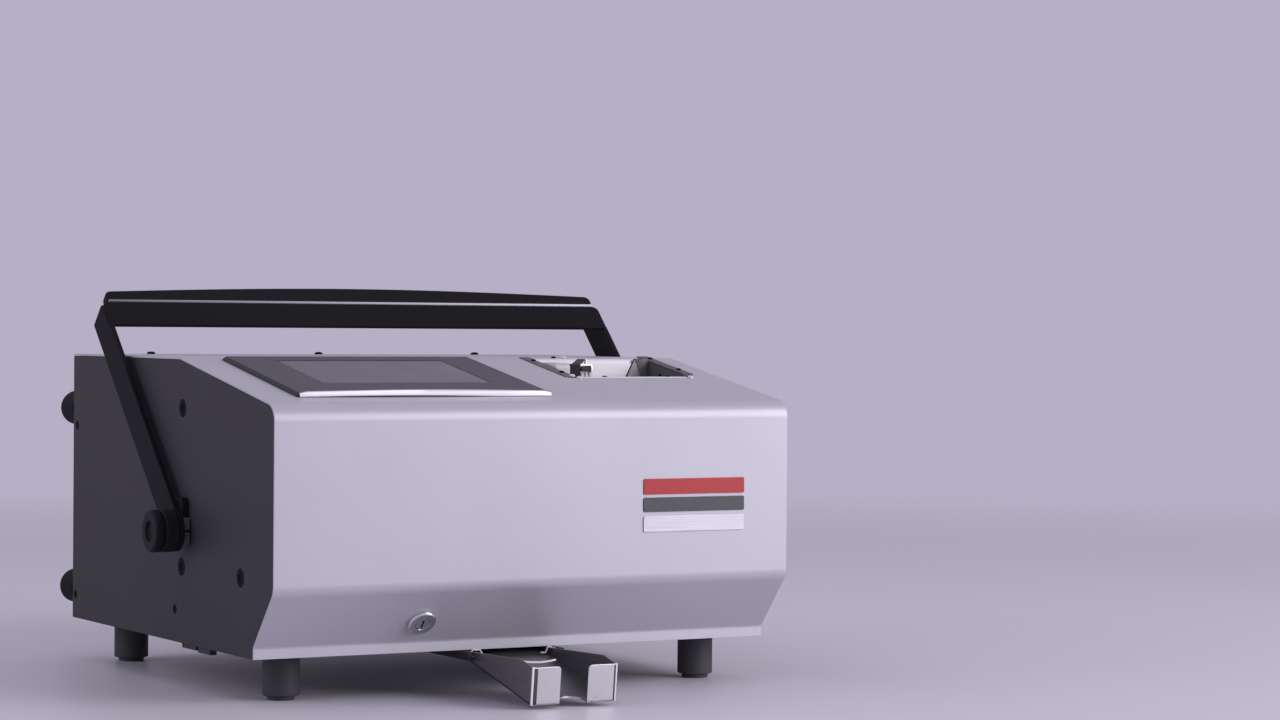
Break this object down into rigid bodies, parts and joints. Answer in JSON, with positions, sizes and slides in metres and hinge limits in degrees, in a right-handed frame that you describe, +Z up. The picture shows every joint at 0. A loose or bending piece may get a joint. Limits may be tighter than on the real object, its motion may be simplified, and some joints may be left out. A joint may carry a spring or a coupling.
{
  "type": "dog tag embossing machine",
  "caption": "Counter-top embossing machine for metal identity tags: lockable folded hood, touch display, tag hopper, swing handle, rubber feet and a slide-out output tray.",
  "frame": {"origin": "on the table, under the middle of the whole machine's box", "axes": "+X to the machine's right seen from the front, +Y from the front to the rear feet, +Z up"},
  "size_m": [0.5314, 0.564, 0.3346],
  "materials": {
    "silver_paint": "fine textured silver powder coat",
    "dark_paint": "fine textured dark grey powder coat",
    "black_paint": "satin black powder coat",
    "black_plastic": "moulded, slightly grained",
    "rubber": "matte with a soft sheen",
    "bezel_metal": "satin grey with a polished front edge",
    "screen": "anti-glare glass, off",
    "chrome": "polished",
    "stainless": "bright rolled stainless sheet",
    "steel": "ground",
    "aluminium": "milled, clear anodised",
    "tag_metal": "bright blanked sheet",
    "circuit_board": "solder mask"
  },
  "bodies": {
    "chassis": {"left_side_panel": "dark_paint", "right_side_panel": "dark_paint", "top_tie_bar": "steel", "rear_tie_bar": "steel", "front_tie_bar": "steel", "rear_panel": "dark_paint", "fan_frame": "black_plastic", "power_inlet": "black_plastic", "base_plate": "dark_paint", "front_left_foot": "rubber", "rear_left_foot": "rubber", "front_right_foot": "rubber", "rear_right_foot": "rubber", "lower_left_back_foot": "rubber", "upper_left_back_foot": "rubber", "lower_right_back_foot": "rubber", "upper_right_back_foot": "rubber", "left_handle_stud": "steel", "right_handle_stud": "steel", "left_stud_lug": "black_paint", "right_stud_lug": "black_paint", "left_mechanism_plate": "aluminium", "right_mechanism_plate": "aluminium", "wheel_motor": "black_paint", "drive_belt": "rubber", "press_motor": "black_paint", "carriage_rail": "steel", "exit_chute": "stainless", "power_supply": "aluminium", "controller_board": "circuit_board", "lock_keeper": "steel"},
    "hood": {"hood_shell": "silver_paint", "display_bezel": "bezel_metal", "touch_screen": "screen", "hopper_strip": "steel", "hopper_cheek": "dark_paint", "lock_barrel": "chrome", "badge_plate": "aluminium", "hood_rear_strip": "steel", "tag_magazine": "aluminium", "tag_stack": "tag_metal"},
    "lock": {"lock_core": "chrome", "lock_cam": "steel"},
    "handle": {"handle_bracket": "black_paint", "handle_strip": "chrome", "handle_grip": "rubber"},
    "left_knob": {"left_clamp_knob": "black_plastic"},
    "right_knob": {"right_clamp_knob": "black_plastic"},
    "tray": {"output_tray": "stainless"},
    "pusher": {"tag_pusher": "black_plastic"},
    "roller": {"feed_roller": "rubber"},
    "carriage": {"tag_carriage": "aluminium"},
    "clamp": {"tag_clamp": "steel"},
    "wheel": {"type_wheel": "steel", "wheel_pulley": "aluminium"},
    "motor": {"motor_pulley": "aluminium"},
    "cam": {"press_cam": "steel"},
    "lever": {"press_lever": "steel"},
    "fan": {"fan_rotor": "black_plastic"},
    "switch": {"power_switch": "black_plastic"}
  },
  "joints": [
    {"name": "hood_slide", "type": "slide", "parent": "chassis", "child": "hood", "axis": [0, -0.9848, 0.1736], "range_m": [0, 0.13]},
    {"name": "lock_turn", "type": "hinge", "parent": "hood", "child": "lock", "pos_m": [-0.0956, -0.18155, 0.06337], "axis": [0, -0.7626, -0.6468], "range_deg": [0, 90]},
    {"name": "handle_swing", "type": "hinge", "parent": "chassis", "child": "handle", "pos_m": [0, -0.0212, 0.1307], "axis": [1, 0, 0], "range_deg": [0, 80]},
    {"name": "left_knob_turn", "type": "hinge", "parent": "chassis", "child": "left_knob", "pos_m": [-0.2555, -0.0212, 0.1307], "axis": [-1, 0, 0], "range_deg": [0, 180]},
    {"name": "right_knob_turn", "type": "hinge", "parent": "chassis", "child": "right_knob", "pos_m": [0.2555, -0.0212, 0.1307], "axis": [1, 0, 0], "range_deg": [0, 180]},
    {"name": "tray_slide", "type": "slide", "parent": "chassis", "child": "tray", "axis": [0, -1, 0], "range_m": [0, 0.17]},
    {"name": "pusher_slide", "type": "slide", "parent": "hood", "child": "pusher", "axis": [1, 0, 0], "range_m": [0, 0.068]},
    {"name": "roller_spin", "type": "hinge", "parent": "hood", "child": "roller", "pos_m": [0.0809, -0.0418, 0.25], "axis": [0, 1, 0], "continuous": true},
    {"name": "carriage_slide", "type": "slide", "parent": "chassis", "child": "carriage", "axis": [0, 1, 0], "range_m": [-0.025, 0.058]},
    {"name": "clamp_slide", "type": "slide", "parent": "carriage", "child": "clamp", "axis": [0, 0, 1], "range_m": [-0.03, 0.01]},
    {"name": "wheel_spin", "type": "hinge", "parent": "chassis", "child": "wheel", "pos_m": [0.0945, 0.05603, 0.146], "axis": [1, 0, 0], "continuous": true},
    {"name": "motor_spin", "type": "hinge", "parent": "chassis", "child": "motor", "pos_m": [0.045, 0.16602, 0.146], "axis": [1, 0, 0], "continuous": true},
    {"name": "cam_spin", "type": "hinge", "parent": "chassis", "child": "cam", "pos_m": [0.177, 0.016, 0.146], "axis": [0, 0, 1], "continuous": true},
    {"name": "lever_press", "type": "hinge", "parent": "chassis", "child": "lever", "pos_m": [0.15325, 0.09403, 0.146], "axis": [0, 0, -1], "range_deg": [0, 2]},
    {"name": "fan_spin", "type": "hinge", "parent": "chassis", "child": "fan", "pos_m": [0.135, 0.2305, 0.15], "axis": [0, 1, 0], "continuous": true},
    {"name": "switch_rock", "type": "hinge", "parent": "chassis", "child": "switch", "pos_m": [-0.125, 0.246, 0.1025], "axis": [-1, 0, 0], "range_deg": [0, 18]}
  ],
  "couplings": [
    {"joint": "motor_spin", "follows": "wheel_spin", "ratio": 2.4414}
  ]
}
